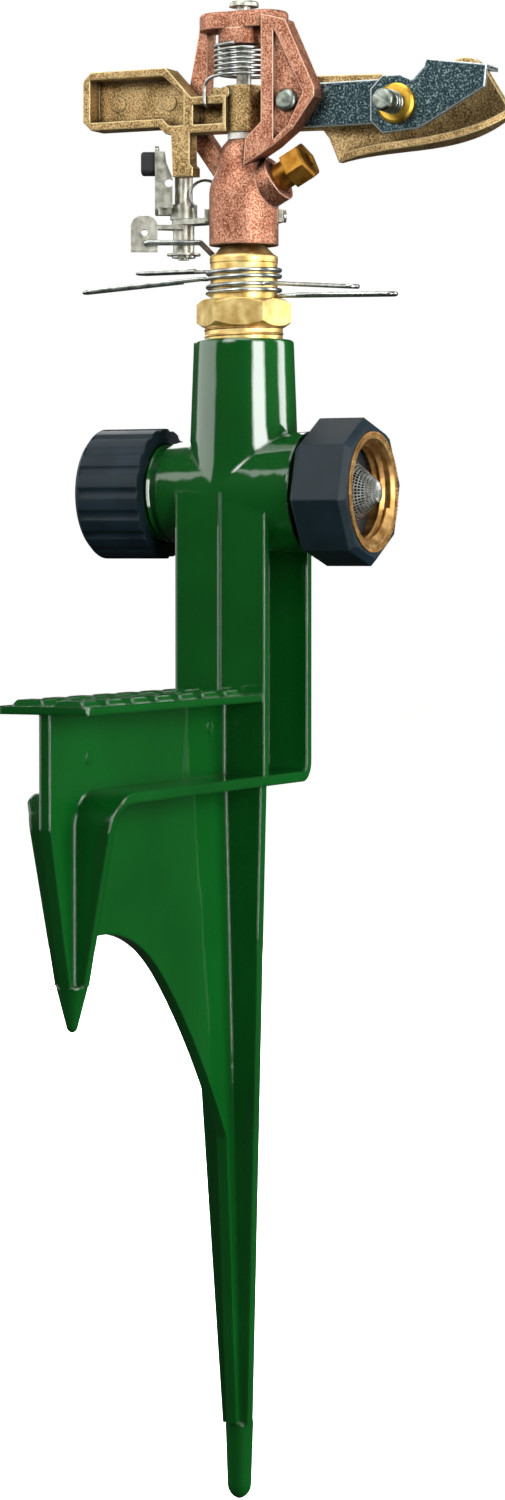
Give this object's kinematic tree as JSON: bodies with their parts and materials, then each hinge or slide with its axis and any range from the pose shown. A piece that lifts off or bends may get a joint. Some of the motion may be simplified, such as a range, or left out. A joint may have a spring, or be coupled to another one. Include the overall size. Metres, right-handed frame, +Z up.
{
  "type": "impact sprinkler on step spike",
  "caption": "Brass impact sprinkler head with spring arm, deflector and part-circle trip on a green cast step spike with hose inlet and capped outlet.",
  "frame": {"origin": "riser axis at the soil line, level with the underside of the step's lower flange", "axes": "+Z up along the riser, +Y along the hose pipe towards the capped outlet, -X towards the foot step"},
  "size_m": [0.1331, 0.1198, 0.404],
  "materials": {
    "enamel_green": "glossy enamel",
    "yellow_brass": "machined",
    "red_brass": "grainy cast",
    "arm_bronze": "grainy cast",
    "plated_steel": "zinc plated",
    "dark_zinc": "dark speckled plate",
    "stainless": "bright wire",
    "black_plastic": "moulded",
    "black_rubber": "matt",
    "white_nylon": "moulded"
  },
  "bodies": {
    "spike": {"step_spike": "enamel_green", "bearing_nipple": "yellow_brass", "thrust_washers": "white_nylon", "coupling_clip": "stainless"},
    "head": {"bearing_tube": "yellow_brass", "sprinkler_body": "red_brass", "nozzle": "yellow_brass", "fulcrum_pin": "stainless", "arm_washer": "white_nylon", "deflector_bracket": "dark_zinc", "deflector_rivet": "plated_steel", "deflector_screw": "yellow_brass", "deflector_nut": "yellow_brass", "deflector_collar": "yellow_brass", "deflector_spring": "stainless", "trip_yoke": "plated_steel", "yoke_rivet": "plated_steel", "trip_tube": "plated_steel", "trip_pin": "plated_steel", "trip_washer": "plated_steel", "trip_clip": "plated_steel", "trip_spring": "stainless"},
    "arm": {"impact_arm": "arm_bronze", "arm_bush": "white_nylon", "arm_spring": "stainless"},
    "flap": {"deflector_flap": "dark_zinc"},
    "lever": {"trip_lever": "plated_steel", "trip_rod": "stainless"},
    "hammer": {"trip_hammer": "plated_steel", "trip_bumper": "black_rubber"},
    "upper_collar": {"upper_trip_collar": "stainless"},
    "lower_collar": {"lower_trip_collar": "stainless"},
    "coupling": {"inlet_sleeve": "black_plastic", "inlet_insert": "yellow_brass", "inlet_washer": "black_rubber", "filter_screen": "stainless"},
    "cap_seat": {"cap_washer": "black_rubber"},
    "cap": {"end_cap": "black_plastic"}
  },
  "joints": [
    {"name": "head_turn", "type": "hinge", "parent": "spike", "child": "head", "pos_m": [0, 0, 0.14], "axis": [0, 0, 1], "continuous": true},
    {"name": "arm_swing", "type": "hinge", "parent": "head", "child": "arm", "pos_m": [0, 0, 0.181], "axis": [0, 0, 1], "range_deg": [0, 90], "stiffness_Nm_per_rad": 0.02, "springref_deg": -22.92, "deforming": ["arm_spring"]},
    {"name": "flap_tilt", "type": "hinge", "parent": "head", "child": "flap", "pos_m": [-0.0025, -0.0461, 0.1801], "axis": [1, 0, 0], "range_deg": [-8, 12]},
    {"name": "lever_flip", "type": "hinge", "parent": "head", "child": "lever", "pos_m": [0.003, 0.0196, 0.1486], "axis": [0, 0, 1], "range_deg": [0, 24], "deforming": ["trip_spring"]},
    {"name": "hammer_flip", "type": "hinge", "parent": "head", "child": "hammer", "pos_m": [0.003, 0.0196, 0.155], "axis": [0, 0, 1], "range_deg": [-30, 0]},
    {"name": "upper_collar_turn", "type": "hinge", "parent": "spike", "child": "upper_collar", "pos_m": [0, 0, 0.137], "axis": [0, 0, 1], "range_deg": [-180, 115]},
    {"name": "lower_collar_turn", "type": "hinge", "parent": "spike", "child": "lower_collar", "pos_m": [0, 0, 0.1325], "axis": [0, 0, 1], "range_deg": [-115, 180]},
    {"name": "coupling_turn", "type": "hinge", "parent": "spike", "child": "coupling", "pos_m": [0, -0.024, 0.0781], "axis": [0, 1, 0], "continuous": true},
    {"name": "cap_advance", "type": "slide", "parent": "spike", "child": "cap_seat", "axis": [0, 1, 0], "range_m": [0, 0.0088]},
    {"name": "cap_turn", "type": "hinge", "parent": "cap_seat", "child": "cap", "pos_m": [0, 0.036, 0.0781], "axis": [0, 1, 0], "range_deg": [0, 1440]}
  ],
  "couplings": [
    {"joint": "hammer_flip", "follows": "lever_flip", "ratio": -1.25},
    {"joint": "cap_turn", "follows": "cap_advance", "rad_per_m": 2856}
  ]
}
